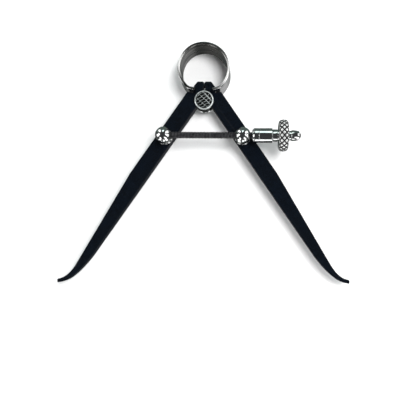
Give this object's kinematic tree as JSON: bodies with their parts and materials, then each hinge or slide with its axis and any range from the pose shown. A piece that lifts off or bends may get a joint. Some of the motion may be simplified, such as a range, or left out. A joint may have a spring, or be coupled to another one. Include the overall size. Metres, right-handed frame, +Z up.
{
  "type": "spring-type inside caliper",
  "caption": "Bow-spring inside caliper: flat blued legs with out-turned toes on a fulcrum stud, opened by a C spring and set by a knurled nut on a cross screw.",
  "frame": {"origin": "centre of the tool's box, on the surface it lies on, with the legs fully open", "axes": "+Z up out of the legs' plane, +Y from the toes to the bow spring, +X towards the nut"},
  "size_m": [0.13, 0.1058, 0.0183],
  "materials": {
    "blued_steel": "blued, nearly black, fine satin grain",
    "nickel_plate": "bright polished plating",
    "spring_steel": "bright polished strip",
    "black_oxide": "black oxide, thread crests rubbed bright"
  },
  "bodies": {
    "fulcrum": {"fulcrum_stud": "nickel_plate", "fulcrum_back_washer": "nickel_plate", "bow_spring": "spring_steel"},
    "left_arm": {"left_leg": "blued_steel"},
    "right_arm": {"right_leg": "blued_steel"},
    "left_swivel": {"left_post": "nickel_plate", "left_post_front_washer": "nickel_plate", "left_post_back_washer": "nickel_plate", "adjusting_screw": "black_oxide"},
    "right_swivel": {"right_post": "nickel_plate", "right_post_front_washer": "nickel_plate", "right_post_back_washer": "nickel_plate", "thrust_sleeve": "nickel_plate"},
    "nut": {"adjusting_nut": "nickel_plate"}
  },
  "joints": [
    {"name": "left_leg_hinge", "type": "hinge", "parent": "fulcrum", "child": "left_arm", "pos_m": [0, 0.02801, 0.0055], "axis": [0, 0, 1], "range_deg": [0, 35.5], "deforming": ["bow_spring"]},
    {"name": "right_leg_hinge", "type": "hinge", "parent": "fulcrum", "child": "right_arm", "pos_m": [0, 0.02801, 0.0055], "axis": [0, 0, -1], "range_deg": [0, 35.5]},
    {"name": "left_post_swivel", "type": "hinge", "parent": "left_arm", "child": "left_swivel", "pos_m": [-0.01718, 0.01188, 0.0055], "axis": [0, 0, -1], "range_deg": [0, 35.5]},
    {"name": "right_post_swivel", "type": "hinge", "parent": "right_arm", "child": "right_swivel", "pos_m": [0.01718, 0.01188, 0.0055], "axis": [0, 0, 1], "range_deg": [0, 35.5]},
    {"name": "nut_spin", "type": "hinge", "parent": "right_swivel", "child": "nut", "pos_m": [0.035, 0.01188, 0.0115], "axis": [-1, 0, 0], "range_deg": [0, 14242]}
  ],
  "couplings": [
    {"joint": "right_leg_hinge", "follows": "left_leg_hinge", "ratio": 1},
    {"joint": "left_post_swivel", "follows": "left_leg_hinge", "ratio": 1},
    {"joint": "right_post_swivel", "follows": "left_leg_hinge", "ratio": 1},
    {"joint": "nut_spin", "follows": "left_leg_hinge", "ratio": 401.18}
  ]
}
